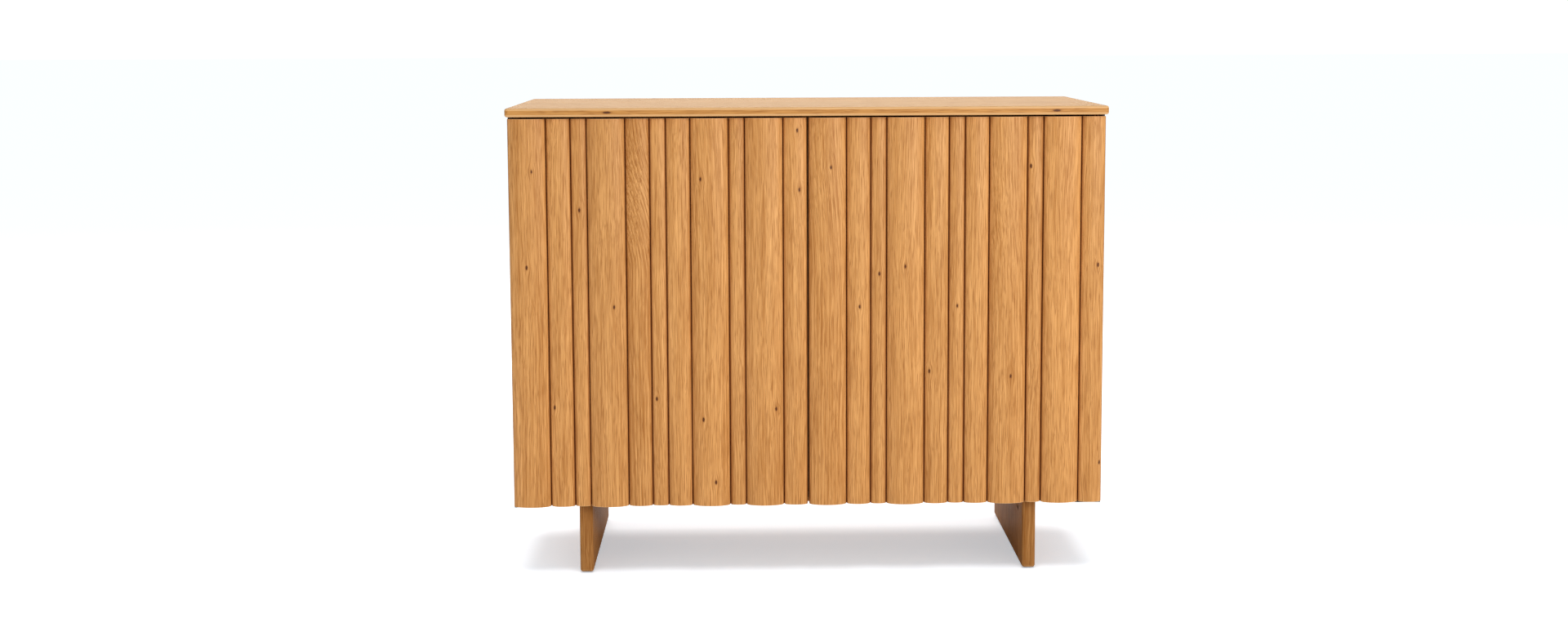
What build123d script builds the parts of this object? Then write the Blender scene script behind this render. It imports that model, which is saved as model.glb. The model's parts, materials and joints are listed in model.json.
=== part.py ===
from build123d import *

import os

# Media cabinet on two panel legs, with two slatted doors. Millimetres, +Z up.
# The origin is on the floor under the middle of the top. The doors face -Y.

# Overall size and the top board
overall_width = 1096.0
overall_depth = 460.0
overall_height = 872.0
top_thickness = 16.0
top_edge_radius = 4.0
top_corner_radius = 8.0
side_overhang = 3.0  # the top past the sides
front_overhang = 5.0  # the top past the slat crowns

# Carcass boards
board = 18.0
carcass_bottom = 133.5
back_thickness = 6.0
back_setback = 6.0  # from the rear edges to the rear face of the back panel
groove_depth = 7.0
shelf_end_gap = 1.5
shelf_front_setback = 24.0
shelf_cable_gap = 18.0

# Doors
door_thickness = 16.0
door_gap = 2.0  # between the carcass front and the back of a door
door_top_gap = 3.5
door_bottom = 135.0
centre_gap = 3.0
door_edge_radius = 1.0

# Half-round slats: a short square base under half an ellipse
slat_base = 3.0
slat_gap = 1.2
wide_crown = 15.0
wide_width = 68.6
medium_width = 43.1
slat_pattern = ["wide", "medium", "narrow", "wide", "medium", "narrow", "medium", "wide",
                "narrow", "wide", "medium"]

# Pivot hinges at the top and bottom corners of the doors
pivot_inset = 5.5  # axis from the outer edge of the door
pivot_depth = 9.5  # axis from the back of the door
pin_radius = 2.5
pin_clearance = 0.05
leaf_length = 60.0
leaf_width = 12.0
leaf_thickness = 2.0
washer_clearance = 0.1
washer_radius = 5.5
bottom_plate_reach = 36.0  # how far the bottom plate runs in under the carcass
bottom_plate_width = 48.0
pin_reach = 4.0  # past the door leaf, into the panel
pin_well_radius = 4.0
pin_well_play = 1.0  # under the end of a pin

# Push latches under the top, one for each door
latch_offset = 34.0
latch_width = 16.0
latch_length = 58.0
latch_drop = 24.0
latch_setback = 4.0
latch_ear_width = 28.0
latch_ear_length = 14.0
latch_ear_thickness = 4.0
latch_screw_spread = 18.0
plunger_radius = 4.0
plunger_clearance = 0.08
plunger_drop = 16.0
plunger_length = 56.0
plunger_travel = 1.5
plunger_rest_gap = 0.3
strike_thickness = 1.0
strike_width = 16.0
strike_height = 18.0
strike_pin_radius = 1.5
strike_pin_length = 8.0
strike_pin_spread = 11.0

# Shelf pins and their columns of holes
shelf_pin_radius = 2.5
shelf_pin_depth = 8.5
shelf_pin_reach = 9.0
shelf_pin_collar_radius = 4.0
shelf_pin_collar = 1.0
pin_hole_depth = 10.0
pin_hole_pitch = 32.0
pin_holes_each_way = 4
pin_row_height = 496.0
pin_columns = (-140.0, 165.0)

# Legs, the rail between them and the glides
leg_thickness = 25.0
leg_depth = 388.0
leg_outer_offset = 427.0
leg_edge_radius = 5.0
rail_thickness = 22.0
rail_height = 50.0
rail_front = 20.0
glide_radius = 8.0
glide_thickness = 4.0
glide_proud = 2.0
glide_shank_radius = 1.5
glide_shank_length = 12.0
glide_inset = 34.0

# Fasteners
dowel_radius = 4.0
dowel_length = 30.0
dowel_in_face = 11.0
cam_radius = 7.5
cam_depth = 12.5
cam_distance = 34.0
cam_bolt_thread_radius = 3.0
cam_bolt_thread = 11.0
cam_bolt_shank_radius = 2.5
cam_bolt_head_radius = 3.3
cam_bolt_head = 5.0
cam_bolt_hole_radius = 3.6
cam_bolt_head_play = 0.5
cam_drive_width = 6.0
cam_drive_slot = 1.0
cam_drive_depth = 3.0
leg_bolt_radius = 3.0
leg_bolt_head_radius = 6.5
leg_bolt_head = 3.0
leg_bolt_length = 58.0
leg_bolt_socket = 4.0
leg_bolt_socket_depth = 2.5
barrel_nut_radius = 5.0
barrel_nut_length = 18.0
barrel_nut_height = 103.0
leg_bolt_rows = (-130.0, 130.0)
screw_radius = 1.75
screw_head_radius = 3.5
screw_head = 1.75
screw_length = 13.0
screw_recess_width = 0.8
screw_recess_span = 3.4
screw_recess_depth = 1.0

# Small fittings
grommet_hole_radius = 30.0
grommet_bore_radius = 26.0
grommet_flange_radius = 35.0
grommet_flange = 2.0
grommet_lip = 3.0
grommet_offset = 268.0
grommet_height = 250.0
bumper_radius = 3.0
bumper_thickness = 1.2
bumper_offset = 5.0
bumper_heights = (180.0, 800.0)

# Worked out from the sizes above
carcass_top = overall_height - top_thickness
carcass_half = overall_width / 2 - side_overhang
door_stack = door_gap + door_thickness + slat_base + wide_crown
carcass_front = -overall_depth / 2 + front_overhang + door_stack
carcass_back = overall_depth / 2
inner_half = carcass_half - board
bottom_top = carcass_bottom + board
back_rear = carcass_back - back_setback
back_front = back_rear - back_thickness
door_top = carcass_top - door_top_gap
door_back = carcass_front - door_gap
door_front = door_back - door_thickness
door_width = carcass_half - centre_gap / 2
pivot_x = carcass_half - pivot_inset
pivot_y = door_back - pivot_depth
leg_inner_offset = leg_outer_offset - leg_thickness
leg_middle_offset = leg_outer_offset - leg_thickness / 2
leg_back = carcass_front + leg_depth
dowel_rows = (-165.0, 195.0)
cam_rows = (-105.0, 130.0)
leg_dowel_rows = (-70.0, 90.0)
rail_middle = rail_front + rail_thickness / 2
rail_dowel_heights = (carcass_bottom - 38.0, carcass_bottom - 14.0)
leaf_screw_places = (22.0, 48.0)
bottom_screw_places = ((30.0, 12.0), (42.0, 26.0))  # across, then in from the carcass front


def block(x_range, y_range, z_range):
    """A box between two corners, given range by range."""
    lows = [min(r) for r in (x_range, y_range, z_range)]
    sizes = [abs(r[1] - r[0]) for r in (x_range, y_range, z_range)]
    middle = [low + size / 2 for low, size in zip(lows, sizes)]
    return Pos(*middle) * Box(*sizes)


def rod(radius, start, end):
    """A round bar from one point to another."""
    start, end = Vector(*start), Vector(*end)
    run = end - start
    return Solid.make_cylinder(radius, run.length, Plane(origin=start, z_dir=run))


def both_sides(shape):
    """The shape and its mirror image on the other side of the cabinet."""
    return [shape, mirror(shape, about=Plane.YZ)]


def write_node(name, solids):
    """One node, as a group of separate solids where there are several."""
    solids = solids if isinstance(solids, list) else [solids]
    loose = [solid for shape in solids for solid in shape.solids()]
    node = loose[0] if len(loose) == 1 else Compound(children=loose)
    node.label = name
    export_step(node, os.path.join("parts", name + ".step"))


def cut(shape, tools):
    """The shape with every tool taken out of it, as one solid."""
    return shape - Compound(children=list(tools))


def screw_shape(place, direction, recess=True):
    """A countersunk screw with its head face at the place, or the hole it fills."""
    seat = Plane(origin=place, z_dir=direction)
    head = Solid.make_cone(screw_head_radius, screw_radius, screw_head, seat)
    shank = Solid.make_cylinder(screw_radius, screw_length, seat)
    screw = head.fuse(shank)
    if not recess:
        return screw
    arm = Box(screw_recess_span, screw_recess_width, 2 * screw_recess_depth)
    return screw - (seat * arm) - (seat * Rot(0, 0, 90) * arm)


def cam_joint(place, into, access):
    """A cam lock and its bolt, and what they take out of the two boards.

    The place is on the joint, into points along the board that holds the cam,
    and access points from that board's middle to the face with the cam in it.
    """
    seat = Plane(origin=place, x_dir=access, z_dir=into)
    thread = Pos(0, 0, -cam_bolt_thread / 2) * Cylinder(cam_bolt_thread_radius, cam_bolt_thread)
    shank_length = cam_distance - cam_bolt_head / 2
    shank = Pos(0, 0, shank_length / 2) * Cylinder(cam_bolt_shank_radius, shank_length)
    head = Pos(0, 0, cam_distance) * Cylinder(cam_bolt_head_radius, cam_bolt_head)
    cam_middle = board / 2 - cam_depth / 2
    pocket = Pos(cam_middle, 0, cam_distance) * Rot(0, 90, 0) * Cylinder(cam_radius, cam_depth)
    mouth_end = cam_distance + cam_bolt_head / 2 + cam_bolt_head_play
    mouth_length = mouth_end - cam_distance + cam_radius + cam_bolt_head_play
    mouth = Pos(0, 0, mouth_end - mouth_length / 2) * Cylinder(cam_bolt_hole_radius, mouth_length)
    drive = Pos(board / 2, 0, cam_distance) * Rot(0, 90, 0) * Box(
        cam_drive_slot, cam_drive_width, 2 * cam_drive_depth)
    channel = Pos(0, 0, cam_distance / 2) * Cylinder(cam_bolt_hole_radius, cam_distance)
    return {
        "bolt": seat * (thread + shank + head),
        "cam": seat * (pocket - mouth - drive),
        "cam_board": seat * (pocket + channel),
        "bolt_board": seat * thread,
    }


def dowel(place, into):
    """A dowel with its short end in the face board behind the place."""
    place, into = Vector(*place), Vector(*into)
    return rod(dowel_radius, tuple(place - into * dowel_in_face),
               tuple(place + into * (dowel_length - dowel_in_face)))


def slat(kind, left_edge, width):
    """A half-round slat on its square base, standing on the door front."""
    crown = wide_crown * width / wide_width
    middle = left_edge + width / 2
    base_front = door_front - slat_base
    outline = Polyline((left_edge, base_front), (left_edge, door_front),
                       (left_edge + width, door_front), (left_edge + width, base_front))
    arc = EllipticalCenterArc((middle, base_front), width / 2, crown, start_angle=180, arc_size=180)
    face = make_face([outline, arc])
    return Pos(0, 0, door_bottom) * extrude(face, door_top - door_bottom)


os.makedirs("parts", exist_ok=True)

# Fasteners between the boards, with the holes they need
down, up = (0, 0, -1), (0, 0, 1)
left, right = (-1, 0, 0), (1, 0, 0)
side_middle = carcass_half - board / 2
bottom_middle = carcass_bottom + board / 2
cams, cam_bolts, dowels = [], [], []
holes = {name: [] for name in ("top", "left_side", "right_side", "bottom", "divider",
                               "left_leg", "right_leg", "rail")}


def join(rows, place_at, into, access, cam_board, bolt_board):
    """Cam joints along Y, one at each row, and their holes in both boards."""
    for y in rows:
        made = cam_joint(place_at(y), into, access)
        cams.append(made["cam"])
        cam_bolts.append(made["bolt"])
        holes[cam_board].append(made["cam_board"])
        holes[bolt_board].append(made["bolt_board"])


def peg(places, into, boards):
    """Dowels at the places, and the same holes in both boards."""
    for place in places:
        piece = dowel(place, into)
        dowels.append(piece)
        for name in boards:
            holes[name].append(piece)


for side, sign, inward in (("left_side", -1, right), ("right_side", 1, left)):
    join(cam_rows, lambda y: (sign * side_middle, y, carcass_top), down, inward, side, "top")
    join(cam_rows, lambda y: (sign * inner_half, y, bottom_middle), inward, down, "bottom", side)
    peg([(sign * side_middle, y, carcass_top) for y in dowel_rows], down, (side, "top"))
    peg([(sign * inner_half, y, bottom_middle) for y in dowel_rows], inward, (side, "bottom"))
join(cam_rows, lambda y: (0, y, carcass_top), down, right, "divider", "top")
join(cam_rows, lambda y: (0, y, bottom_top), up, right, "divider", "bottom")
peg([(0, y, carcass_top) for y in dowel_rows], down, ("divider", "top"))
peg([(0, y, bottom_top) for y in dowel_rows], up, ("divider", "bottom"))
for leg, sign, inward in (("left_leg", -1, right), ("right_leg", 1, left)):
    peg([(sign * leg_middle_offset, y, carcass_bottom) for y in leg_dowel_rows], down,
        (leg, "bottom"))
    peg([(sign * leg_inner_offset, rail_middle, z) for z in rail_dowel_heights], inward,
        (leg, "rail"))

# Leg bolts through the bottom board into barrel nuts
leg_bolts, barrel_nuts = [], []
for leg, sign in (("left_leg", -1), ("right_leg", 1)):
    for y in leg_bolt_rows:
        x = sign * leg_middle_offset
        head = rod(leg_bolt_head_radius, (x, y, bottom_top), (x, y, bottom_top - leg_bolt_head))
        shank = rod(leg_bolt_radius, (x, y, bottom_top), (x, y, bottom_top - leg_bolt_length))
        socket = Pos(x, y, bottom_top) * extrude(
            RegularPolygon(leg_bolt_socket / 2, 6, major_radius=False), -leg_bolt_socket_depth)
        nut = rod(barrel_nut_radius, (sign * leg_inner_offset, y, barrel_nut_height),
                  (sign * (leg_inner_offset + barrel_nut_length), y, barrel_nut_height))
        leg_bolts.append(head.fuse(shank) - socket)
        barrel_nuts.append(nut - shank)
        holes["bottom"].append(head.fuse(shank))
        holes[leg] += [shank, nut]

# Carcass boards
back_panel = block((-inner_half - groove_depth, inner_half + groove_depth),
                   (back_front, back_rear),
                   (bottom_top - groove_depth, carcass_top + groove_depth))
outlets = both_sides(rod(grommet_hole_radius, (-grommet_offset, back_front, grommet_height),
                         (-grommet_offset, back_rear, grommet_height)))
write_node("back_panel", cut(back_panel, outlets))

pin_rows = [pin_row_height + step * pin_hole_pitch
            for step in range(-pin_holes_each_way, pin_holes_each_way + 1)]
side_pin_holes = [rod(shelf_pin_radius, (-inner_half, y, z), (-inner_half - pin_hole_depth, y, z))
                  for y in pin_columns for z in pin_rows]
divider_pin_holes = [rod(shelf_pin_radius, (-board / 2, y, z), (board / 2, y, z))
                     for y in pin_columns for z in pin_rows]

left_side = block((-carcass_half, -inner_half), (carcass_front, carcass_back),
                  (carcass_bottom, carcass_top))
for name, board_shape, pin_holes in (
        ("left_side", left_side, side_pin_holes),
        ("right_side", mirror(left_side, about=Plane.YZ),
         [mirror(hole, about=Plane.YZ) for hole in side_pin_holes])):
    write_node(name + "_panel", cut(board_shape, [back_panel] + pin_holes + holes[name]))

bottom = block((-inner_half, inner_half), (carcass_front, carcass_back),
               (carcass_bottom, bottom_top))
divider = block((-board / 2, board / 2), (carcass_front, back_front), (bottom_top, carcass_top))
write_node("centre_divider", cut(divider, divider_pin_holes + holes["divider"]))

# Shelves on their pins
shelf_bottom = pin_row_height + shelf_pin_radius
left_shelf = block((-inner_half + shelf_end_gap, -board / 2 - shelf_end_gap),
                   (carcass_front + shelf_front_setback, back_front - shelf_cable_gap),
                   (shelf_bottom, shelf_bottom + board))
for name, shelf in zip(("left_shelf", "right_shelf"), both_sides(left_shelf)):
    write_node(name, shelf)


def shelf_pin(x, y, into):
    """A shelf pin in a board face at x, reaching into the bay along into."""
    z = pin_row_height
    bar = rod(shelf_pin_radius, (x - into * shelf_pin_depth, y, z),
              (x + into * shelf_pin_reach, y, z))
    collar = rod(shelf_pin_collar_radius, (x, y, z), (x + into * shelf_pin_collar, y, z))
    return bar.fuse(collar)


shelf_pins = []
for y in pin_columns:
    shelf_pins += both_sides(shelf_pin(-inner_half, y, 1))
    shelf_pins += both_sides(shelf_pin(-board / 2, y, -1))
write_node("shelf_pins", shelf_pins)

# Legs, rail and glides
left_leg = block((-leg_outer_offset, -leg_inner_offset), (carcass_front, leg_back),
                 (glide_proud, carcass_bottom))
round_edges = left_leg.edges().filter_by(Axis.Z) + left_leg.faces().sort_by(Axis.Z)[0].edges()
left_leg = fillet(round_edges, leg_edge_radius)
glides = []
for y in (carcass_front + glide_inset, leg_back - glide_inset):
    x = -leg_middle_offset
    pad = rod(glide_radius, (x, y, 0), (x, y, glide_thickness))
    shank = rod(glide_shank_radius, (x, y, glide_thickness),
                (x, y, glide_thickness + glide_shank_length))
    glides += both_sides(pad.fuse(shank))
for name, leg in zip(("left_leg", "right_leg"), both_sides(left_leg)):
    write_node(name, cut(leg, glides + holes[name]))
write_node("leg_glides", glides)

rail = block((-leg_inner_offset, leg_inner_offset), (rail_front, rail_front + rail_thickness),
             (carcass_bottom - rail_height, carcass_bottom))
write_node("base_rail", cut(rail, holes["rail"]))

# Pivot hinge hardware on the carcass: plates let in under the top and screwed on under
# the bottom, pins and washers
plate_front = pivot_y - leaf_width / 2
top_plate = block((-carcass_half, -carcass_half + leaf_length),
                  (plate_front, plate_front + leaf_width),
                  (carcass_top, carcass_top + leaf_thickness))
bottom_plate = block((-carcass_half, -carcass_half + bottom_plate_width),
                     (plate_front, carcass_front + bottom_plate_reach),
                     (carcass_bottom - leaf_thickness, carcass_bottom))
top_pin = rod(pin_radius, (-pivot_x, pivot_y, carcass_top + leaf_thickness),
              (-pivot_x, pivot_y, door_top - leaf_thickness - pin_reach))
bottom_pin = rod(pin_radius, (-pivot_x, pivot_y, carcass_bottom - leaf_thickness),
                 (-pivot_x, pivot_y, door_bottom + leaf_thickness + pin_reach))
top_washer = rod(washer_radius, (-pivot_x, pivot_y, carcass_top),
                 (-pivot_x, pivot_y, door_top + washer_clearance))
bottom_washer = rod(washer_radius, (-pivot_x, pivot_y, carcass_bottom),
                    (-pivot_x, pivot_y, door_bottom - washer_clearance))
top_plate_places = [(-carcass_half + along, pivot_y, carcass_top)
                    for along in leaf_screw_places]
bottom_plate_places = [(-carcass_half + across, carcass_front + back,
                        carcass_bottom - leaf_thickness)
                       for across, back in bottom_screw_places]
plate_screw_holes = {
    "top": [screw_shape(place, up, recess=False) for place in top_plate_places],
    "bottom": [screw_shape(place, up, recess=False) for place in bottom_plate_places],
}
plate_screws = [screw_shape(place, up) for place in top_plate_places + bottom_plate_places]
write_node("top_pivot_plates",
           both_sides(cut(top_plate, [top_pin] + plate_screw_holes["top"])))
write_node("bottom_pivot_plates",
           both_sides(cut(bottom_plate, [bottom_pin] + plate_screw_holes["bottom"])))
write_node("pivot_pins", both_sides(top_pin) + both_sides(bottom_pin))
write_node("pivot_washers",
           both_sides(cut(top_washer, [top_pin])) + both_sides(cut(bottom_washer, [bottom_pin])))
write_node("plate_screws", [twin for screw in plate_screws for twin in both_sides(screw)])
for name, places in plate_screw_holes.items():
    for hole in places:
        holes[name] += both_sides(hole)
holes["top"] += both_sides(top_plate)

# Push latches: housing under the top, and a plunger that the door presses in
latch_front = carcass_front + latch_setback
latch_back = latch_front + latch_length
plunger_height = carcass_top - plunger_drop
plunger_front = door_back + strike_thickness + plunger_rest_gap
latch_body = block((-latch_offset - latch_width / 2, -latch_offset + latch_width / 2),
                   (latch_front, latch_back), (carcass_top - latch_drop, carcass_top))
latch_ear = block((-latch_offset - latch_ear_width / 2, -latch_offset + latch_ear_width / 2),
                  (latch_back, latch_back + latch_ear_length),
                  (carcass_top - latch_ear_thickness, carcass_top))
plunger = rod(plunger_radius, (-latch_offset, plunger_front, plunger_height),
              (-latch_offset, plunger_front + plunger_length, plunger_height))
plunger_bore = rod(plunger_radius + plunger_clearance, (-latch_offset, latch_front, plunger_height),
                   (-latch_offset, plunger_front + plunger_length + 2 * plunger_travel,
                    plunger_height))
latch_places = [(-latch_offset + turn * latch_screw_spread / 2, latch_back + latch_ear_length / 2,
                 carcass_top - latch_ear_thickness) for turn in (-1, 1)]
latch_holes = [screw_shape(place, up, recess=False) for place in latch_places]
latch_housing = cut(latch_body + latch_ear, [plunger_bore] + latch_holes)
write_node("latch_housings", both_sides(latch_housing))
write_node("latch_screws", [twin for place in latch_places
                            for twin in both_sides(screw_shape(place, up))])
for name, piece in zip(("left_latch_plunger", "right_latch_plunger"), both_sides(plunger)):
    write_node(name, piece)
for hole in latch_holes:
    holes["top"] += both_sides(hole)

strike_plate = block((-latch_offset - strike_width / 2, -latch_offset + strike_width / 2),
                     (door_back, door_back + strike_thickness),
                     (plunger_height - strike_height / 2, plunger_height + strike_height / 2))
strike_pins = [rod(strike_pin_radius,
                   (-latch_offset, door_back, plunger_height + turn * strike_pin_spread / 2),
                   (-latch_offset, door_back - strike_pin_length,
                    plunger_height + turn * strike_pin_spread / 2)) for turn in (-1, 1)]
strike = strike_plate + strike_pins[0] + strike_pins[1]
for name, piece in zip(("left_strike_plate", "right_strike_plate"), both_sides(strike)):
    write_node(name, piece)

# The top and the bottom board, now that all their holes are known
top = extrude(RectangleRounded(overall_width, overall_depth, top_corner_radius), top_thickness)
top = Pos(0, 0, carcass_top) * top
rims = top.faces().sort_by(Axis.Z)[0].edges() + top.faces().sort_by(Axis.Z)[-1].edges()
top = fillet(rims, top_edge_radius)
write_node("top_panel", cut(top, [back_panel] + holes["top"]))
write_node("bottom_panel", cut(bottom, [back_panel] + holes["bottom"]))

# Doors: panel, hinge leaves and slats
leaf_x = (-carcass_half, -carcass_half + leaf_length)
leaf_y = (pivot_y - leaf_width / 2, pivot_y + leaf_width / 2)
leaf_blanks = [block(leaf_x, leaf_y, (door_top - leaf_thickness, door_top)),
               block(leaf_x, leaf_y, (door_bottom, door_bottom + leaf_thickness))]
leaf_bore = rod(pin_radius + pin_clearance, (-pivot_x, pivot_y, door_bottom),
                (-pivot_x, pivot_y, door_top))
pin_wells = [rod(pin_well_radius, (-pivot_x, pivot_y, door_top),
                 (-pivot_x, pivot_y, door_top - leaf_thickness - pin_reach - pin_well_play)),
             rod(pin_well_radius, (-pivot_x, pivot_y, door_bottom),
                 (-pivot_x, pivot_y, door_bottom + leaf_thickness + pin_reach + pin_well_play))]
leaf_places = [((-carcass_half + along, pivot_y, door_top), down) for along in leaf_screw_places]
leaf_places += [((-carcass_half + along, pivot_y, door_bottom), up) for along in leaf_screw_places]
leaf_holes = [screw_shape(place, way, recess=False) for place, way in leaf_places]
leaf_screws = [screw_shape(place, way) for place, way in leaf_places]
leaves = [cut(leaf, [leaf_bore] + leaf_holes) for leaf in leaf_blanks]

door_blank = block((-carcass_half, -carcass_half + door_width), (door_front, door_back),
                   (door_bottom, door_top))
back_edges = door_blank.edges().filter_by(Axis.Z).group_by(Axis.Y)[-1]
door_blank = fillet(back_edges, door_edge_radius)
left_door = cut(door_blank, leaf_blanks + pin_wells + leaf_holes + strike_pins)
for name, panel in zip(("left_door_panel", "right_door_panel"), both_sides(left_door)):
    write_node(name, panel)
for index, name in enumerate(("left", "right")):
    write_node(name + "_pivot_leaves", [both_sides(leaf)[index] for leaf in leaves])
    write_node(name + "_leaf_screws", [both_sides(screw)[index] for screw in leaf_screws])

narrow_count = slat_pattern.count("narrow")
taken = slat_pattern.count("wide") * wide_width + slat_pattern.count("medium") * medium_width
gaps = (len(slat_pattern) - 1) * slat_gap
narrow_width = (door_width - taken - gaps) / narrow_count
slat_widths = {"wide": wide_width, "medium": medium_width, "narrow": narrow_width}
for door, start in (("left", -carcass_half), ("right", centre_gap / 2)):
    edge = start
    for number, kind in enumerate(slat_pattern, 1):
        width = slat_widths[kind]
        write_node(f"{door}_slat_{number:02d}_{kind}", slat(kind, edge, width))
        edge += width + slat_gap

# Cable grommets in the back, and bumpers on the divider front
grommet_span = (back_front - grommet_lip, back_rear + grommet_flange)
tube = rod(grommet_hole_radius, (-grommet_offset, grommet_span[0], grommet_height),
           (-grommet_offset, grommet_span[1], grommet_height))
flange = rod(grommet_flange_radius, (-grommet_offset, back_rear, grommet_height),
             (-grommet_offset, grommet_span[1], grommet_height))
bore = rod(grommet_bore_radius, (-grommet_offset, grommet_span[0], grommet_height),
           (-grommet_offset, grommet_span[1], grommet_height))
write_node("cable_grommets", both_sides(tube.fuse(flange) - bore))

bumpers = []
for z in bumper_heights:
    bumpers += both_sides(rod(bumper_radius, (-bumper_offset, carcass_front, z),
                              (-bumper_offset, carcass_front - bumper_thickness, z)))
write_node("door_bumpers", bumpers)

write_node("cam_locks", cams)
write_node("cam_bolts", cam_bolts)
write_node("dowels", dowels)
write_node("leg_bolts", leg_bolts)
write_node("barrel_nuts", barrel_nuts)
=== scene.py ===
import json
import math
import random

import bmesh
import bpy
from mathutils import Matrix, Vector

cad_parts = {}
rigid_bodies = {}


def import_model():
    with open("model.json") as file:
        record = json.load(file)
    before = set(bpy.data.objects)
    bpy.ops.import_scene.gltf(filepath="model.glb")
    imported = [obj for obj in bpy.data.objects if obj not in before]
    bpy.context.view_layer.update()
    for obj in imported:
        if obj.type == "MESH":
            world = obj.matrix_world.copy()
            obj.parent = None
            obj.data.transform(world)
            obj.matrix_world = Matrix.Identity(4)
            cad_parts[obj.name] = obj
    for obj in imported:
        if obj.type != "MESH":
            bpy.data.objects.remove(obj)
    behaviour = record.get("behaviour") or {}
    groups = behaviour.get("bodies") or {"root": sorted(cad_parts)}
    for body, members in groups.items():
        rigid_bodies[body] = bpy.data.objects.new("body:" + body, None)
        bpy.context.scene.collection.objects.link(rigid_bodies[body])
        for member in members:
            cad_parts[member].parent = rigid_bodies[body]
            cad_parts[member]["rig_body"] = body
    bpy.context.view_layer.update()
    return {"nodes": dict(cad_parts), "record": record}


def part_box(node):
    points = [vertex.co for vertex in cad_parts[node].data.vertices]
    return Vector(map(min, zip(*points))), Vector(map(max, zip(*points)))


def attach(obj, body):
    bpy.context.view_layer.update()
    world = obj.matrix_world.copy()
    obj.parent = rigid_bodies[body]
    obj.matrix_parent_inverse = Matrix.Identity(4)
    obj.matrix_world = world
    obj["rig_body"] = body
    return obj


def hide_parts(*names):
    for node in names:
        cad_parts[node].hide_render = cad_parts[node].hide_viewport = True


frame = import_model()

nodes = frame["nodes"]
mm = 0.001
tiny = 0.01 * mm  # two places nearer than this are the same
smoothAngle = math.radians(30)  # edges sharper than this stay crisp
flatAngle = math.radians(0.5)  # faces that turn less than this are joined into one
dice = random.Random(11)


def hexToLinear(text):
    values = [int(text[i:i + 2], 16) / 255 for i in (1, 3, 5)]
    linear = [v / 12.92 if v <= 0.04045 else ((v + 0.055) / 1.055) ** 2.4 for v in values]
    return (*linear, 1.0)


def addNode(tree, kind, settings=None, links=None, output=None):
    # settings are the node's own, links give an input a value or another node's output
    node = tree.nodes.new(kind)
    for name, value in (settings or {}).items():
        setattr(node, name, value)
    for name, value in (links or {}).items():
        if isinstance(value, bpy.types.NodeSocket):
            tree.links.new(value, node.inputs[name])
        else:
            node.inputs[name].default_value = value
    return node if output is None else node.outputs[output]


def newMaterial(name):
    material = bpy.data.materials.new(name)
    material.use_nodes = True
    material.node_tree.nodes.clear()
    return material, material.node_tree


def deselectAll():
    if bpy.context.mode != "OBJECT":
        bpy.ops.object.mode_set(mode="OBJECT")
    bpy.ops.object.select_all(action="DESELECT")


def openPiece(piece, kind, test):
    # edit mode with only the edges or faces selected that pass the test
    deselectAll()
    piece.select_set(True)
    bpy.context.view_layer.objects.active = piece
    bpy.ops.object.mode_set(mode="EDIT")
    bpy.ops.mesh.select_mode(type=kind)
    bpy.ops.mesh.select_all(action="DESELECT")
    sketch = bmesh.from_edit_mesh(piece.data)
    for part in (sketch.edges if kind == "EDGE" else sketch.faces):
        if test(part):
            part.select_set(True)
    bmesh.update_edit_mesh(piece.data)


def upright(edge):
    return abs(edge.verts[0].co.z - edge.verts[1].co.z) > 1 * mm


def levelAt(heights):
    def test(edge):
        return any(all(abs(v.co.z - z) < tiny for v in edge.verts) for z in heights)
    return test


def bevelEdges(piece, test, width, steps):
    openPiece(piece, "EDGE", test)
    bpy.ops.mesh.bevel(offset=width, segments=steps, affect="EDGES", clamp_overlap=False)
    bpy.ops.object.mode_set(mode="OBJECT")
    bpy.ops.object.shade_smooth_by_angle(angle=smoothAngle)


def dress(piece, body, material, replaced):
    piece.data.materials.clear()
    piece.data.materials.append(material)
    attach(piece, body)
    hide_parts(replaced)


# where in the log a board may be cut from, in metres: across, in from the heart, and along
logSpans = ((-0.09, 0.09), (0.05, 0.16), (-3, 3))
knotNames = ("knotOne", "knotTwo", "knotThree")
noKnot = (9, 9, 9)  # too far from every board to show


def isEased(normal):
    # an eased face leans, up or down on a slat and either way on a flat board
    return 0.05 < abs(normal.z) < 0.99


def writeLayer(piece, name, kind, where, values):
    # a copied board already has its layers, and they are written over
    layer = piece.data.attributes.get(name) or piece.data.attributes.new(name, kind, where)
    layer.data.foreach_set("value" if kind == "FLOAT" else "vector", values)


def markBoard(piece, tone, knots=(), figure=0.3):
    # what the oak reads from each board: its tone and figure, its place in the log and its knots
    points = len(piece.data.vertices)
    place = [dice.uniform(*span) for span in logSpans]
    spots = (list(knots) + [noKnot] * 3)[:3]
    for name, spot in (("grainShift", place), *zip(knotNames, spots)):
        writeLayer(piece, name, "FLOAT_VECTOR", "POINT", list(spot) * points)
    for name, value in (("boardTone", tone), ("grainFigure", figure)):
        writeLayer(piece, name, "FLOAT", "POINT", [value] * points)
    # painted highlight: the eased edges are painted paler, where they catch the light
    eased = [float(isEased(face.normal)) for face in piece.data.polygons]
    writeLayer(piece, "edgeHighlightMask", "FLOAT", "FACE", eased)


print("materials")

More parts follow.
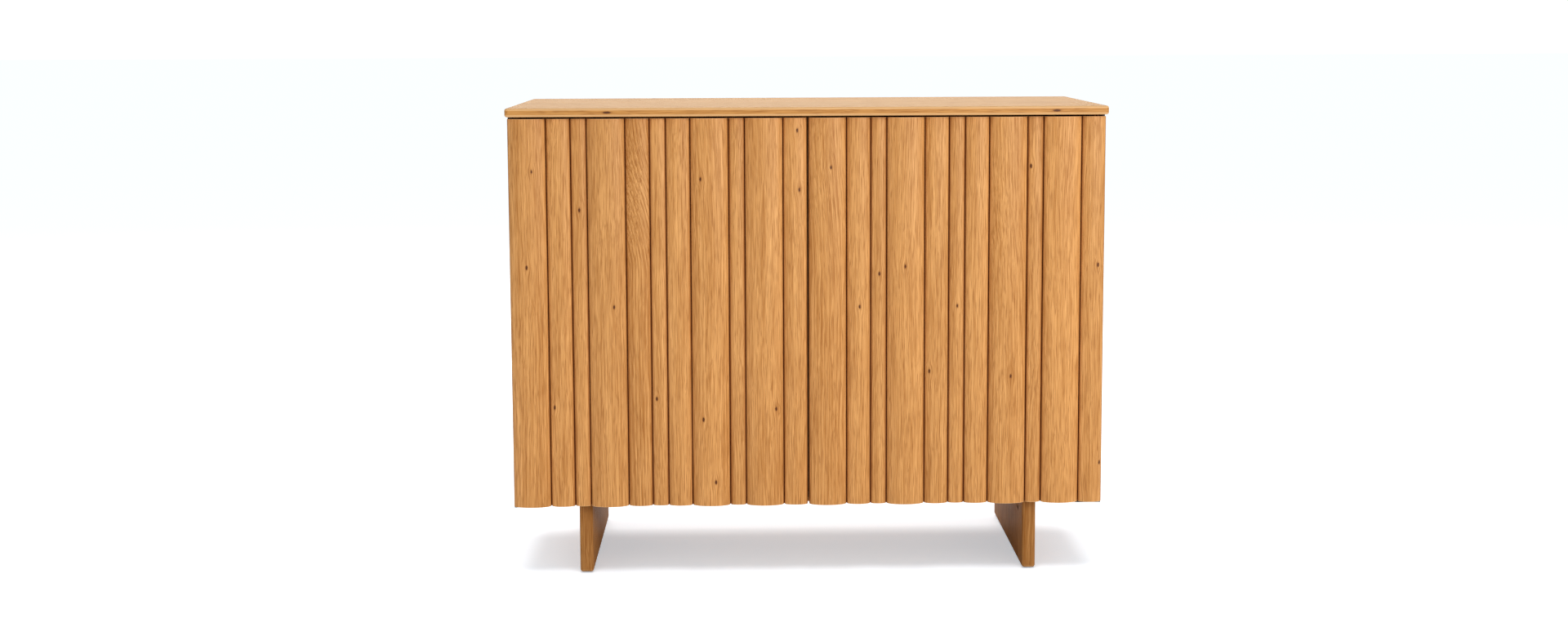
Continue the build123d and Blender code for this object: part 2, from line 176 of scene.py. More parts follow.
# oak, planed and oiled: fine dashed lines along the grain, soft growth bands and a matt glow
oakLook = {
    "light": "#eeb16c",
    "dark": "#b57635",
    "pore": "#8c4e15",
    # the colour of the painted shade in the grooves between the slats
    "grooveShade": "#843c04",
    "knot": "#4e2207",
    # the colour of the painted highlight on the eased edges
    "edgeHighlight": "#f0c48c",
    "tone": 1.0,
    "roughness": (0.45, 0.6),  # of the face and of a pore
    "gloss": 0.25,  # oil that has sunk in leaves little on top to shine
    "bumpStrength": 0.3,
    "bumpDepth": 0.3 * mm,

    "grainTurn": (0, 0, 0),  # the grain runs up
    "staveAxis": 1,
    "staveWidth": 5000 * mm,  # wider than any board, so the board is one stave
    "staveJump": (160 * mm, 120 * mm, 3000 * mm),  # how far apart in the log two staves may be cut

    # sizes along the grain are far longer than across it: each pair is a width and a length
    "ringWidth": 6 * mm,
    "bandSize": (12 * mm, 500 * mm),
    "fibreSize": (1.4 * mm, 100 * mm),  # real fibres are too fine to show, so they are drawn this coarse
    "lineSize": (1.9 * mm, 90 * mm),  # and so are the lines of pores
    "dashSize": (1.2 * mm, 40 * mm),
    "wanderSize": (140 * mm, 900 * mm),
    "wander": (30 * mm, 30 * mm, 0),
    "curlSize": (20 * mm, 110 * mm),
    "curl": (4 * mm, 4 * mm, 0),
    "sweep": (55 * mm, 20 * mm, 0),  # strongly figured grain sweeps aside this far
    "sweepHeights": (0.56, 0.86),  # between these heights, in metres

    # the stretch of each pattern's values that its ramp runs over
    "ringEnds": (0.1, 0.95),
    "bandEnds": (0.3, 0.7),
    "fibreEnds": (0.32, 0.68),
    "lineEnds": (0.42, 0.5),
    "breakEnds": (0.36, 0.56),
    "dashEnds": (0.6, 0.72),

    # how much each pattern colours the wood
    "bandShare": 0.25,
    "fibreShare": 0.6,
    "ringShare": 0.35,
    "poreShare": 0.5,
    "edgeHighlightShare": 0.6,
    "grooveShadeShare": 0.92,
    "haloShare": 0.6,
    "heartShare": 0.9,

    # how much the tone differs from board to board, along a board and from stave to stave
    "boardDrift": 0.055,
    "lengthDrift": 0.12,
    "staveDrift": 0.08,

    "knotRadius": 1.7 * mm,
    "knotCore": 0.68 * mm,
    "haloRadius": 3.4 * mm,
    "ragged": 1.6 * mm,
    "raggedSize": 1.5 * mm,
    "swellRadius": 14 * mm,
    "swell": 0.75,
    "knotSpan": (1, 0, 0.42),  # how far each axis counts: a knot is a line through a board, drawn out in Z
}
mathNode, vectorNode = "ShaderNodeMath", "ShaderNodeVectorMath"
rampNode, mixNode, readNode = "ShaderNodeMapRange", "ShaderNodeMix", "ShaderNodeAttribute"
product, total, blendSum = {"operation": "MULTIPLY"}, {"operation": "ADD"}, {"operation": "MULTIPLY_ADD"}
smooth = {"interpolation_type": "SMOOTHSTEP"}
colourMix = {"data_type": "RGBA"}  # its share is input 0, its colours are 6 and 7, and it gives output 2
ringScale = 0.314  # a wave texture at this scale has its rings a metre apart


def fromTo(ends):
    return {"From Min": ends[0], "From Max": ends[1]}


def streakNoise(tree, source, size, detail, roughness=0.5):
    # noise drawn out along the grain
    width, length = size
    drawn = addNode(tree, "ShaderNodeMapping", None,
                    {"Vector": source, "Scale": (1 / width, 1 / width, 1 / length)}, 0)
    return addNode(tree, "ShaderNodeTexNoise", None,
                   {"Vector": drawn, "Scale": 1.0, "Detail": detail, "Roughness": roughness})


def bendRoundKnots(tree, place, look):
    # the grain swells sideways round each pin knot, and the distance to the nearest is kept
    bent, nearest = place, 1.0
    for knotName in knotNames:
        knot = addNode(tree, readNode, {"attribute_name": knotName}, None, "Vector")
        away = addNode(tree, vectorNode, {"operation": "SUBTRACT"}, {0: place, 1: knot}, 0)
        flat = addNode(tree, vectorNode, product, {0: away, 1: look["knotSpan"]}, 0)
        distance = addNode(tree, vectorNode, {"operation": "LENGTH"}, {0: flat}, "Value")
        swell = addNode(tree, rampNode, smooth,
                        {"Value": distance, "From Max": look["swellRadius"],
                         "To Min": -look["swell"], "To Max": 0.0}, 0)
        push = addNode(tree, vectorNode, {"operation": "SCALE"}, {0: away, "Scale": swell}, 0)
        bent = addNode(tree, vectorNode, blendSum, {0: push, 1: (1, 0, 0), 2: bent}, 0)
        nearest = addNode(tree, mathNode, {"operation": "MINIMUM"}, {0: distance, 1: nearest}, 0)
    return bent, nearest


def cutStaves(tree, bent, look):
    # turned so that the grain runs along Z, and each stave moved to its own place in the log
    turned = addNode(tree, "ShaderNodeMapping", None, {"Vector": bent, "Rotation": look["grainTurn"]}, 0)
    axes = addNode(tree, "ShaderNodeSeparateXYZ", None, {0: turned}).outputs
    share = addNode(tree, mathNode, {"operation": "DIVIDE"},
                    {0: axes[look["staveAxis"]], 1: look["staveWidth"]}, 0)
    stave = addNode(tree, mathNode, {"operation": "FLOOR"}, {0: share}, 0)
    lot = addNode(tree, "ShaderNodeTexWhiteNoise", {"noise_dimensions": "1D"}, {"W": stave})
    shift = addNode(tree, readNode, {"attribute_name": "grainShift"}, None, "Vector")
    jump = addNode(tree, vectorNode, blendSum,
                   {0: lot.outputs["Color"], 1: look["staveJump"], 2: shift}, 0)
    moved = addNode(tree, vectorNode, total, {0: turned, 1: jump}, 0)
    return moved, axes["Z"], lot.outputs["Value"]


def bendGrain(tree, moved, height, figure, look):
    # the grain wanders along the log, sweeps aside where it is strongly figured, and curls a little
    drift = streakNoise(tree, moved, look["wanderSize"], detail=2.0).outputs
    wander = addNode(tree, vectorNode, blendSum, {0: drift["Color"], 1: look["wander"], 2: moved}, 0)
    rise = addNode(tree, rampNode, smooth, {"Value": height, **fromTo(look["sweepHeights"])}, 0)
    strong = addNode(tree, mathNode, {"operation": "POWER"}, {0: figure, 1: 3.0}, 0)
    lean = addNode(tree, mathNode, product, {0: strong, 1: rise}, 0)
    sweep = addNode(tree, vectorNode, {"operation": "SCALE"}, {0: look["sweep"], "Scale": lean}, 0)
    wander = addNode(tree, vectorNode, total, {0: wander, 1: sweep}, 0)
    close = streakNoise(tree, moved, look["curlSize"], detail=2.0).outputs["Color"]
    curl = addNode(tree, vectorNode, blendSum, {0: close, 1: look["curl"], 2: wander}, 0)
    return wander, curl, drift["Fac"]


def growthRings(tree, wander, figure, look):
    # rings round the heart of the log, drawn out along it, cut by the face and as strong as the figure
    long = addNode(tree, "ShaderNodeMapping", None, {"Vector": wander, "Scale": (1, 1, 0.05)}, 0)
    rings = addNode(tree, "ShaderNodeTexWave",
                    {"wave_type": "RINGS", "rings_direction": "Z", "wave_profile": "SAW"},
                    {"Vector": long, "Scale": ringScale / look["ringWidth"], "Distortion": 2.4,
                     "Detail": 3.0, "Detail Scale": 0.6, "Detail Roughness": 0.6}, "Fac")
    rings = addNode(tree, rampNode, smooth, {"Value": rings, **fromTo(look["ringEnds"])}, 0)
    return addNode(tree, mathNode, product, {0: rings, 1: figure}, 0)


def poreMarks(tree, curl, look):
    # thin broken lines and short dashes: folded at its middle value, noise peaks along thin lines
    lines = streakNoise(tree, curl, look["lineSize"], detail=1.5, roughness=0.4).outputs["Fac"]
    lines = addNode(tree, mathNode, {"operation": "PINGPONG"}, {0: lines, 1: 0.5}, 0)
    lines = addNode(tree, rampNode, smooth, {"Value": lines, **fromTo(look["lineEnds"])}, 0)
    dashes = streakNoise(tree, curl, look["dashSize"], detail=1.0).outputs["Fac"]
    broken = addNode(tree, rampNode, smooth, {"Value": dashes, **fromTo(look["breakEnds"])}, 0)
    lines = addNode(tree, mathNode, product, {0: lines, 1: broken}, 0)
    dashes = addNode(tree, rampNode, smooth, {"Value": dashes, **fromTo(look["dashEnds"])}, 0)
    return addNode(tree, mathNode, {"operation": "MAXIMUM"}, {0: lines, 1: dashes}, 0)


def makeOak(name, changes=None):
    look = {**oakLook, **(changes or {})}
    tint = {part: hexToLinear(look[part]) for part in ("light", "dark", "pore", "grooveShade", "knot", "edgeHighlight")}
    material, tree = newMaterial(name)
    place = addNode(tree, "ShaderNodeTexCoord", None, None, "Object")
    figure = addNode(tree, readNode, {"attribute_name": "grainFigure"}, None, "Fac")
    bent, nearest = bendRoundKnots(tree, place, look)
    moved, height, staveLot = cutStaves(tree, bent, look)
    wander, curl, drift = bendGrain(tree, moved, height, figure, look)

    # broad bands, fibres and growth rings darken the wood, and the pores are inked in
    bands = streakNoise(tree, wander, look["bandSize"], detail=2.0).outputs["Fac"]
    bands = addNode(tree, rampNode, smooth, {"Value": bands, **fromTo(look["bandEnds"])}, 0)
    fibres = streakNoise(tree, curl, look["fibreSize"], detail=3.0, roughness=0.6).outputs["Fac"]
    fibres = addNode(tree, rampNode, smooth, {"Value": fibres, **fromTo(look["fibreEnds"])}, 0)
    rings = growthRings(tree, wander, figure, look)
    darker = addNode(tree, mathNode, product, {0: bands, 1: look["bandShare"]}, 0)
    darker = addNode(tree, mathNode, blendSum, {0: fibres, 1: look["fibreShare"], 2: darker}, 0)
    darker = addNode(tree, mathNode, blendSum, {0: rings, 1: look["ringShare"], 2: darker}, 0)
    colour = addNode(tree, mixNode, colourMix, {0: darker, 6: tint["light"], 7: tint["dark"]}, 2)
    pores = poreMarks(tree, curl, look)
    inked = addNode(tree, mathNode, product, {0: pores, 1: look["poreShare"]}, 0)
    colour = addNode(tree, mixNode, colourMix, {0: inked, 6: colour, 7: tint["pore"]}, 2)

    # each board has its own tone, each stave a little of its own, and it drifts along the length:
    # the last two only ever add, so half of their range is taken off first
    tone = addNode(tree, readNode, {"attribute_name": "boardTone"}, None, "Fac")
    middle = look["tone"] - (look["lengthDrift"] + look["staveDrift"]) / 2
    value = addNode(tree, mathNode, blendSum, {0: tone, 1: look["boardDrift"], 2: middle}, 0)
    value = addNode(tree, mathNode, blendSum, {0: drift, 1: look["lengthDrift"], 2: value}, 0)
    value = addNode(tree, mathNode, blendSum, {0: staveLot, 1: look["staveDrift"], 2: value}, 0)
    colour = addNode(tree, "ShaderNodeHueSaturation", None, {"Value": value, "Color": colour}, 0)

    # painted shade: darker at the foot of a slat and on the door face behind it, where shade falls in the
    # grooves
    if "grooveShadeEnds" in look:
        depth = addNode(tree, "ShaderNodeSeparateXYZ", None, {0: place}, "Y")
        depth = addNode(tree, rampNode, smooth,
                        {"Value": depth, **fromTo(look["grooveShadeEnds"]), "To Max": look["grooveShadeShare"]}, 0)
        colour = addNode(tree, mixNode, colourMix, {0: depth, 6: colour, 7: tint["grooveShade"]}, 2)

    # paler on the eased edges, a painted highlight, and dark in the ragged heart of a knot
    eased = addNode(tree, readNode, {"attribute_name": "edgeHighlightMask"}, None, "Fac")
    eased = addNode(tree, mathNode, product, {0: eased, 1: look["edgeHighlightShare"]}, 0)
    colour = addNode(tree, mixNode, colourMix, {0: eased, 6: colour, 7: tint["edgeHighlight"]}, 2)
    ragged = addNode(tree, "ShaderNodeTexNoise", None,
                     {"Vector": place, "Scale": 1 / look["raggedSize"]}, "Fac")
    nearest = addNode(tree, mathNode, blendSum, {0: ragged, 1: -look["ragged"], 2: nearest}, 0)
    halo = addNode(tree, rampNode, smooth,
                   {"Value": nearest, **fromTo((0.0, look["haloRadius"])),
                    "To Min": look["haloShare"], "To Max": 0.0}, 0)
    colour = addNode(tree, mixNode, colourMix, {0: halo, 6: colour, 7: tint["pore"]}, 2)
    heart = addNode(tree, rampNode, smooth,
                    {"Value": nearest, **fromTo((look["knotCore"], look["knotRadius"])),
                     "To Min": look["heartShare"], "To Max": 0.0}, 0)
    colour = addNode(tree, mixNode, colourMix, {0: heart, 6: colour, 7: tint["knot"]}, 2)

    faceRough, poreRough = look["roughness"]
    rough = addNode(tree, rampNode, None, {"Value": pores, "To Min": faceRough, "To Max": poreRough}, 0)
    height = addNode(tree, mathNode, blendSum, {0: pores, 1: -1.0, 2: fibres}, 0)
    bump = addNode(tree, "ShaderNodeBump", None,
                   {"Height": height, "Strength": look["bumpStrength"], "Distance": look["bumpDepth"]}, 0)
    shader = addNode(tree, "ShaderNodeBsdfPrincipled", None,
                     {"Base Color": colour, "Roughness": rough, "IOR": 1.5,
                      "Specular IOR Level": look["gloss"], "Normal": bump}, 0)
    addNode(tree, "ShaderNodeOutputMaterial", None, {"Surface": shader})
    return material


def makeHard(look):
    # metals and plastics: a colour with a little drift, and a fine surface. An IOR of 1.5 is right for
    # the plastics, and what a metal has by default
    material, tree = newMaterial(look["name"])
    light, dark = [hexToLinear(colour) for colour in look["colours"]]
    smoothest, roughest = look["roughness"]
    place = addNode(tree, "ShaderNodeTexCoord", None, None, "Object")
    cloud = addNode(tree, "ShaderNodeTexNoise", None,
                    {"Vector": place, "Scale": 1 / look["cloud"], "Detail": 3.0}, "Fac")
    grit = addNode(tree, "ShaderNodeTexNoise", None,
                   {"Vector": place, "Scale": 1 / look["grit"], "Detail": 2.0}, "Fac")
    colour = addNode(tree, mixNode, colourMix, {0: cloud, 6: light, 7: dark}, 2)
    rough = addNode(tree, rampNode, None, {"Value": cloud, "To Min": smoothest, "To Max": roughest}, 0)
    bump = addNode(tree, "ShaderNodeBump", None,
                   {"Height": grit, "Strength": look["bump"], "Distance": 0.1 * mm}, 0)
    shader = addNode(tree, "ShaderNodeBsdfPrincipled", None,
                     {"Base Color": colour, "Roughness": rough, "Metallic": look["metallic"], "IOR": 1.5,
                      "Transmission Weight": look.get("clear", 0.0), "Normal": bump}, 0)
    addNode(tree, "ShaderNodeOutputMaterial", None, {"Surface": shader})
    return material


slatBase = 3 * mm
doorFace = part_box("left_slat_01_wide")[1].y  # where the slats meet the door
alongX = {"grainTurn": (0, math.pi / 2, 0)}

# the slats are oak, planed half round: the grooves between them are painted dark, a painted shade
slatLook = {"knotSpan": (1, 1, 0.5), "grooveShadeEnds": (doorFace - slatBase - 5 * mm, doorFace - slatBase)}
# the top is staves of oak, sanded finer than the rest: it takes a soft sheen
topLook = {**alongX, "staveWidth": 115 * mm, "tone": 0.94, "light": "#e2a45a", "dark": "#b67830",
           "roughness": (0.48, 0.58), "gloss": 0.35, "knotSpan": (0.3, 1, 1)}
sideLook = {"staveWidth": 103.5 * mm}
# the legs and the base rail are oak painted deeper in colour, a painted shade for the shade under the
# cabinet, and dull
shadedLegLook = {"tone": 0.69, "light": "#e4a45f", "dark": "#a56526", "gloss": 0.1, "edgeHighlightShare": 0.1}
# the inner boards are sliced oak veneer: paler and plainer, in wide leaves
innerLook = {"light": "#e2b27a", "dark": "#b5804a", "roughness": (0.48, 0.58), "staveWidth": 140 * mm}
# the door face, seen only at the bottom of the grooves, is painted dark as shade
doorLook = {**innerLook, "staveAxis": 0, "staveWidth": 136 * mm,
            "grooveShadeEnds": (doorFace + 1 * mm, doorFace)}
backLook = {**innerLook, "staveAxis": 0, "staveWidth": 178 * mm}

oakSlats = makeOak("oakHalfRoundOiled", slatLook)
oakTop = makeOak("oakTopOiled", topLook)
oakSides = makeOak("oakSidesOiled", sideLook)
oakLegs = makeOak("oakLegsShaded", {**shadedLegLook, "staveWidth": 130 * mm})
oakRail = makeOak("oakRailShaded", {**shadedLegLook, **alongX})
veneerUpright = makeOak("oakVeneerUpright", innerLook)
veneerFlat = makeOak("oakVeneerFlat", {**innerLook, **alongX})
veneerDoors = makeOak("oakVeneerDoors", doorLook)
veneerBack = makeOak("oakVeneerBack", backLook)

hardLooks = {
    # steel, powder coated: black, with the faint orange-peel of the coat
    "black_steel": {"name": "powderCoatedSteel", "colours": ("#1d1d1e", "#161617"), "metallic": 0.0,
                    "roughness": (0.38, 0.5), "cloud": 8 * mm, "grit": 0.8 * mm, "bump": 0.3},
    # steel, bright zinc plated: a cool, slightly cloudy metal
    "zinc_steel": {"name": "zincPlatedSteel", "colours": ("#c4c7ca", "#aeb1b4"), "metallic": 1.0,
                   "roughness": (0.28, 0.42), "cloud": 6 * mm, "grit": 0.4 * mm, "bump": 0.05},
    # steel, centreless ground: brighter and smoother
    "ground_steel": {"name": "groundSteel", "colours": ("#d2d3d4", "#c6c7c8"), "metallic": 1.0,
                     "roughness": (0.16, 0.22), "cloud": 4 * mm, "grit": 0.3 * mm, "bump": 0.03},
    # zinc alloy, die cast and tumbled: dull grey with a soft texture
    "zinc_casting": {"name": "dieCastZinc", "colours": ("#a9a9aa", "#939395"), "metallic": 1.0,
                     "roughness": (0.42, 0.56), "cloud": 3 * mm, "grit": 0.5 * mm, "bump": 0.2},
    # nylon, moulded: off white, satin
    "white_nylon": {"name": "mouldedNylon", "colours": ("#e9e6dd", "#dedad0"), "metallic": 0.0,
                    "roughness": (0.38, 0.5), "cloud": 5 * mm, "grit": 0.5 * mm, "bump": 0.1},
    # ABS, moulded in a spark-eroded tool: even grey with a fine grain
    "grey_plastic": {"name": "mouldedAbs", "colours": ("#65686c", "#5c5f63"), "metallic": 0.0,
                     "roughness": (0.45, 0.58), "cloud": 8 * mm, "grit": 0.6 * mm, "bump": 0.35},
    # polypropylene, moulded: near black with a fine grain
    "black_plastic": {"name": "mouldedPolypropylene", "colours": ("#232324", "#1b1b1c"), "metallic": 0.0,
                      "roughness": (0.42, 0.55), "cloud": 8 * mm, "grit": 0.6 * mm, "bump": 0.35},
    # polyurethane, cast in domes: soft, clear and slightly milky
    "clear_rubber": {"name": "castPolyurethane", "colours": ("#eeece4", "#e2e0d6"), "metallic": 0.0,
                     "roughness": (0.18, 0.26), "cloud": 2 * mm, "grit": 0.4 * mm, "bump": 0.05,
                     "clear": 0.6},
    # beech, turned and fluted: pale and plain
    "beech_dowels": {"name": "turnedBeech", "colours": ("#dcbd93", "#c9a679"), "metallic": 0.0,
                     "roughness": (0.55, 0.7), "cloud": 3 * mm, "grit": 0.5 * mm, "bump": 0.3},
}
hard = {slot: makeHard(look) for slot, look in hardLooks.items()}

print("top board")
top = {"cornerRadius": 8 * mm, "cornerSteps": 8, "edgeRadius": 4 * mm, "edgeSteps": 6,
       "tone": 0.1, "knotsAcross": (452 * mm, -363 * mm)}


def addBlock(name, low, high):
    deselectAll()
    bpy.ops.mesh.primitive_cube_add(size=1, location=(low + high) / 2, scale=high - low)
    bpy.ops.object.transform_apply(location=True, rotation=False, scale=True)
    piece = bpy.context.object
    piece.name = piece.data.name = name
    return piece


low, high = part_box("top_panel")
topBoard = addBlock("top_board", low, high)
bevelEdges(topBoard, upright, top["cornerRadius"], top["cornerSteps"])
bevelEdges(topBoard, levelAt((low.z, high.z)), top["edgeRadius"], top["edgeSteps"])
edgeKnots = [Vector((across, low.y, (low.z + high.z) / 2)) for across in top["knotsAcross"]]
markBoard(topBoard, top["tone"], edgeKnots)
dress(topBoard, "root", oakTop, "top_panel")

print("legs")
# the legs' low tone is more painted shade, for the shade under the cabinet
leg = {"edgeRadius": 5 * mm, "edgeSteps": 6, "tone": -0.4}
for side in ("left", "right"):
    low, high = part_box(side + "_leg")
    panel = addBlock(side + "_leg_panel", low, high)
    bevelEdges(panel, lambda edge: upright(edge) or levelAt((low.z,))(edge),
               leg["edgeRadius"], leg["edgeSteps"])
    markBoard(panel, leg["tone"])
    dress(panel, "root", oakLegs, side + "_leg")

print("slats")
# painted shade: each width has its own tone, the narrow slats darker for the deeper shade on them;
# toneSpread adds a random difference to each slat
slat = {"steps": 96, "base": slatBase, "endEasing": 0.9 * mm, "endSteps": 2,
        "widthShadeTones": {"narrow": -0.35, "medium": 0.05, "wide": 0.15}, "toneSpread": 0.35, "figure": 0.25}

# slats with more figure in their grain than the rest, from 0 to 1
figures = {("left", 5): 1.0, ("right", 1): 0.7, ("left", 1): 0.5, ("right", 8): 0.55, ("left", 8): 0.45}

# pin knots: door, slat number, place across the slat and up the door from 0 to 1, and how deep
# under the face in millimetres, which leaves a deep one small and faint
pinKnots = (
    ("left", 1, 0.64, 0.867, 1.4), ("left", 1, 0.47, 0.623, 0.0), ("left", 2, 0.2, 0.26, 0.5),
    ("left", 3, 0.52, 0.768, 0.8), ("left", 4, 0.68, 0.52, 0.8), ("left", 6, 0.3, 0.28, 0.6),
    ("left", 8, 0.27, 0.846, 1.0), ("left", 8, 0.3, 0.227, 0.2), ("left", 8, 0.62, 0.063, 0.3),
    ("left", 10, 0.8, 0.253, 0.8), ("left", 11, 0.59, 0.968, 1.0), ("left", 11, 0.67, 0.817, 1.1),
    ("right", 1, 0.59, 0.874, 1.1), ("right", 2, 0.54, 0.516, 1.0), ("right", 3, 0.54, 0.6, 0.8),
    ("right", 4, 0.48, 0.62, 1.1), ("right", 5, 0.2, 0.347, 0.9), ("right", 6, 0.54, 0.516, 1.2),
    ("right", 8, 0.58, 0.334, 1.0), ("right", 9, 0.2, 0.874, 0.4), ("right", 11, 0.71, 0.62, 0.6),
    ("right", 11, 0.88, 0.104, 0.8),
)


def modelSlat(low, high):
    # half an elliptical bar on a square base, with eased ends
    middle = (low + high) / 2
    baseFront = high.y - slat["base"]
    deselectAll()
    bpy.ops.mesh.primitive_cylinder_add(
        vertices=slat["steps"], radius=1, depth=high.z - low.z,
        location=(middle.x, baseFront, middle.z),
        scale=((high.x - low.x) / 2, baseFront - low.y, 1))
    bpy.ops.object.transform_apply(location=True, rotation=False, scale=True)
    piece = bpy.context.object
    openPiece(piece, "FACE", lambda face: True)
    bpy.ops.mesh.bisect(plane_co=(0, baseFront, 0), plane_no=(0, 1, 0), use_fill=True, clear_outer=True)
    openPiece(piece, "FACE", lambda face: face.normal.y > 0.99)
    bpy.ops.mesh.extrude_region_move(TRANSFORM_OT_translate={"value": (0, slat["base"], 0)})
    bpy.ops.mesh.select_all(action="SELECT")
    bpy.ops.mesh.remove_doubles(threshold=tiny)
    bpy.ops.mesh.dissolve_limited(angle_limit=flatAngle)
    bpy.ops.mesh.normals_make_consistent(inside=False)
    bevelEdges(piece, levelAt((low.z, high.z)), slat["endEasing"], slat["endSteps"])
    return piece


def copySlat(master, move):
    deselectAll()
    master.select_set(True)
    bpy.context.view_layer.objects.active = master
    bpy.ops.object.duplicate()
    bpy.ops.transform.translate(value=move)
    bpy.ops.object.transform_apply(location=True, rotation=False, scale=False)
    return bpy.context.object


def knotSpots(door, number, low, high):
    # on the curved face of the slat, or just under it
    spots = []
    for where, which, across, up, deep in pinKnots:
        if (where, which) == (door, number):
            crown = high.y - slat["base"] - low.y
            face = high.y - slat["base"] - crown * math.sqrt(1 - (2 * across - 1) ** 2)
            spots.append(Vector((low.x + (high.x - low.x) * across, face + deep * mm,
                                 low.z + (high.z - low.z) * up)))
    return spots


masters = {}  # the first slat of each width, which the others are copied from
for door in ("left", "right"):
    for name in sorted(n for n in nodes if n.startswith(door + "_slat")):
        number, kind = int(name.split("_")[2]), name.split("_")[3]
        low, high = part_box(name)
        if kind in masters:
            master, start = masters[kind]
            piece = copySlat(master, low - start)
        else:
            piece = modelSlat(low, high)
            masters[kind] = (piece, low)
        piece.name = piece.data.name = name.replace("slat", "half_round")
        tone = slat["widthShadeTones"][kind] + dice.uniform(-slat["toneSpread"], slat["toneSpread"])
        markBoard(piece, tone, knotSpots(door, number, low, high),
                  figures.get((door, number), slat["figure"]))
        dress(piece, door + "_door", oakSlats, name)

print("boards")
easing = {"width": 0.6 * mm, "steps": 2, "tone": 0.0}
boards = (
    ("left_side_panel", "oak_boards", oakSides),
    ("right_side_panel", "oak_boards", oakSides),
    ("bottom_panel", "oak_inner_boards", veneerFlat),
    ("centre_divider", "oak_inner_boards", veneerUpright),
    ("left_shelf", "oak_inner_boards", veneerFlat),
    ("right_shelf", "oak_inner_boards", veneerFlat),
    ("left_door_panel", "oak_inner_boards", veneerDoors),
    ("right_door_panel", "oak_inner_boards", veneerDoors),
    ("base_rail", "oak_boards", oakRail),
    ("back_panel", "oak_inner_boards", veneerBack),
)


def easeBoard(node):
    # a copy of the CAD board, made whole and flat again, with its long edges eased
    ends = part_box(node)
    deselectAll()
    piece = bpy.data.objects.new(node + "_eased", nodes[node].data.copy())
    bpy.context.scene.collection.objects.link(piece)
    piece.select_set(True)
    bpy.context.view_layer.objects.active = piece
    bpy.ops.mesh.customdata_custom_splitnormals_clear()
    openPiece(piece, "FACE", lambda face: True)
    bpy.ops.mesh.remove_doubles(threshold=tiny)
    bpy.ops.mesh.dissolve_limited(angle_limit=flatAngle)

    def onCorner(edge):
        # where two outer faces meet
        planes = sum(all(abs(v.co[axis] - end[axis]) < 2 * tiny for v in edge.verts)
                     for axis in range(3) for end in ends)
        return planes >= 2
    bevelEdges(piece, onCorner, easing["width"], easing["steps"])
    return piece


for node, slot, material in boards:
    piece = easeBoard(node)
    markBoard(piece, easing["tone"])
    dress(piece, nodes[node]["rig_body"], material, node)

print("hardware")
slots = {part["node"]: part["material_slot"] for part in frame["record"]["subparts"]}
for node, thing in nodes.items():
    if slots[node] in hard:
        thing.data.materials.clear()
        thing.data.materials.append(hard[slots[node]])

print("floor, light and camera")
studio = {"sky": 0.62, "backdrop": 1.1,  # how bright it is as a light, and as it is seen
          "floorSize": 120, "floor": "#fafcff", "floorGlow": "#a5aeb5", "floorBounce": "#f0f0f0"}

# two softboxes light the cabinet and leave the floor out, and two light nothing but the floor
softboxes = {
    "front_softbox": {"place": (2.3, -3.7, 2.2), "aim": (0, -0.2, 0.45), "size": (2.4, 1.8),
                      "watts": 107, "colour": "#ffffff", "floor": "EXCLUDE"},
    "rear_softbox": {"place": (0, 3.6, 2.3), "aim": (0, 0.2, 0.3), "size": (3.4, 1.0),
                     "watts": 51, "colour": "#fff0d2", "floor": "EXCLUDE"},  # a warm sheen across the top
    "front_floor_softbox": {"place": (0, -1.6, 3.8), "aim": (0, -0.2, 0), "size": (2.6, 1.0),
                            "watts": 62, "colour": "#ffffff", "floor": "INCLUDE"},
    "rear_floor_softbox": {"place": (0, 3.1, 2.9), "aim": (0, 0.2, 0), "size": (2.6, 1.0),
                           "watts": 90, "colour": "#ffffff", "floor": "INCLUDE"},
}
view = {"place": (-0.1137, -3.5555, 1.0171), "turn": (84.1168, 0.224, -1.2891),
        "lens": 42.241, "sensor": 36, "shift": (-0.00128, -0.065)}


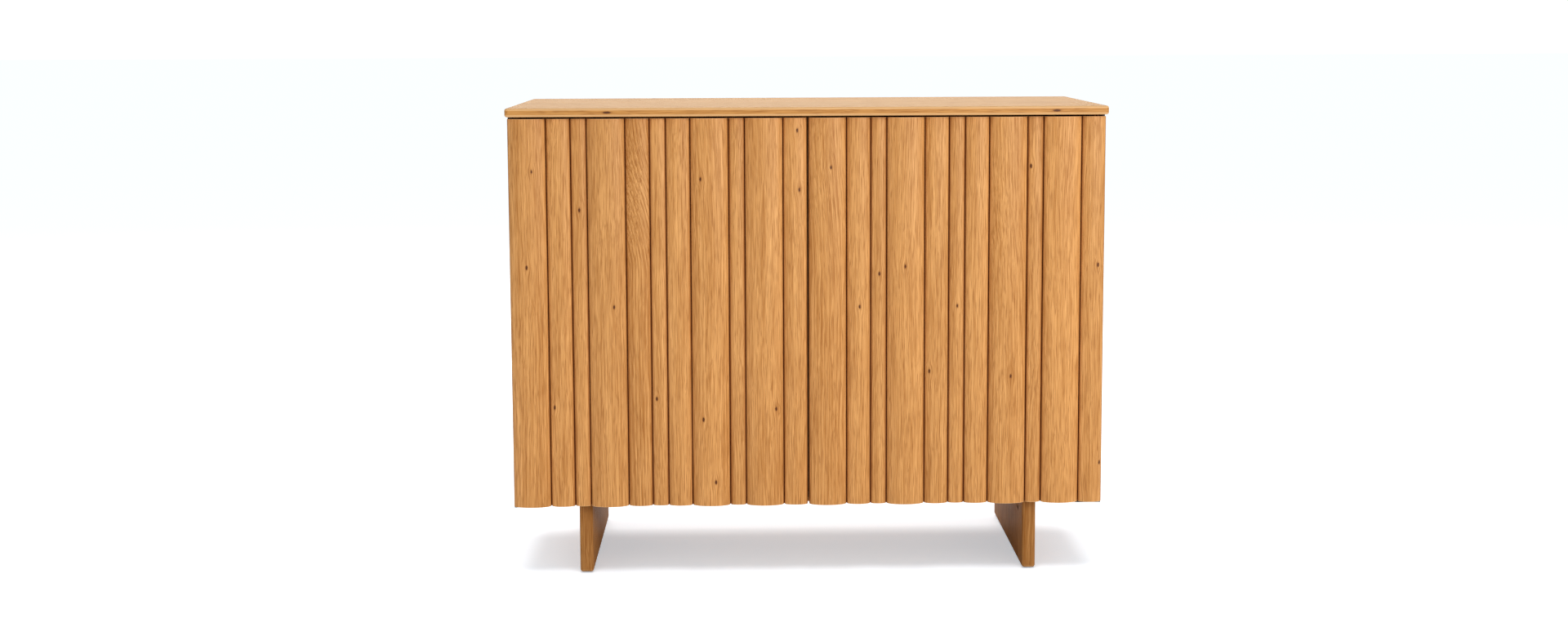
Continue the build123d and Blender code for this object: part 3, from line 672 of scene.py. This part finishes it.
def makeFloor():
    # matt white paint, with a glow that leaves only the shadow to be seen: light that bounces off
    # the floor comes from the paint alone
    deselectAll()
    bpy.ops.mesh.primitive_plane_add(size=studio["floorSize"], location=(0, 0, 0))
    floor = bpy.context.object
    floor.name = "studio_floor"
    material, tree = newMaterial("paintedStudioFloor")
    white = addNode(tree, "ShaderNodeBsdfDiffuse", None, {"Color": hexToLinear(studio["floor"])}, 0)
    glow = addNode(tree, "ShaderNodeEmission", None, {"Color": hexToLinear(studio["floorGlow"])}, 0)
    seen = addNode(tree, "ShaderNodeAddShader", None, {0: white, 1: glow}, 0)
    dull = addNode(tree, "ShaderNodeBsdfDiffuse", None, {"Color": hexToLinear(studio["floorBounce"])}, 0)
    direct = addNode(tree, "ShaderNodeLightPath", None, None, "Is Camera Ray")
    both = addNode(tree, "ShaderNodeMixShader", None, {0: direct, 1: dull, 2: seen}, 0)
    addNode(tree, "ShaderNodeOutputMaterial", None, {"Surface": both})
    floor.data.materials.append(material)
    return floor


def makeSky():
    # an even white tent, which is brighter where it is seen behind the cabinet
    world = bpy.data.worlds.new("studio")
    bpy.context.scene.world = world
    world.use_nodes = True
    tree = world.node_tree
    tree.nodes.clear()
    direct = addNode(tree, "ShaderNodeLightPath", None, None, "Is Camera Ray")
    strength = addNode(tree, mixNode, None, {0: direct, 2: studio["sky"], 3: studio["backdrop"]}, 0)
    back = addNode(tree, "ShaderNodeBackground", None, {"Color": (1, 1, 1, 1), "Strength": strength}, 0)
    addNode(tree, "ShaderNodeOutputWorld", None, {"Surface": back})


def addSoftbox(name, box, floor):
    light = bpy.data.lights.new(name, "AREA")
    light.shape = "RECTANGLE"
    light.size, light.size_y = box["size"]
    light.energy, light.color = box["watts"], hexToLinear(box["colour"])[:3]
    lamp = bpy.data.objects.new(name, light)
    bpy.context.scene.collection.objects.link(lamp)
    lamp.location = box["place"]
    lamp.rotation_euler = (Vector(box["aim"]) - Vector(box["place"])).to_track_quat("-Z", "Y").to_euler()
    lamp.visible_camera = False
    receivers = bpy.data.collections.new(name + "_receivers")
    receivers.objects.link(floor)
    receivers.collection_objects[0].light_linking.link_state = box["floor"]
    lamp.light_linking.receiver_collection = receivers


studioFloor = makeFloor()
makeSky()
for name, box in softboxes.items():
    addSoftbox(name, box, studioFloor)

camera = bpy.data.cameras.new("camera")
camera.lens, camera.sensor_width = view["lens"], view["sensor"]
camera.shift_x, camera.shift_y = view["shift"]
eye = bpy.data.objects.new("camera", camera)
bpy.context.scene.collection.objects.link(eye)
eye.location = view["place"]
eye.rotation_euler = [math.radians(angle) for angle in view["turn"]]
bpy.context.scene.camera = eye
bpy.context.scene.view_settings.view_transform = "Standard"
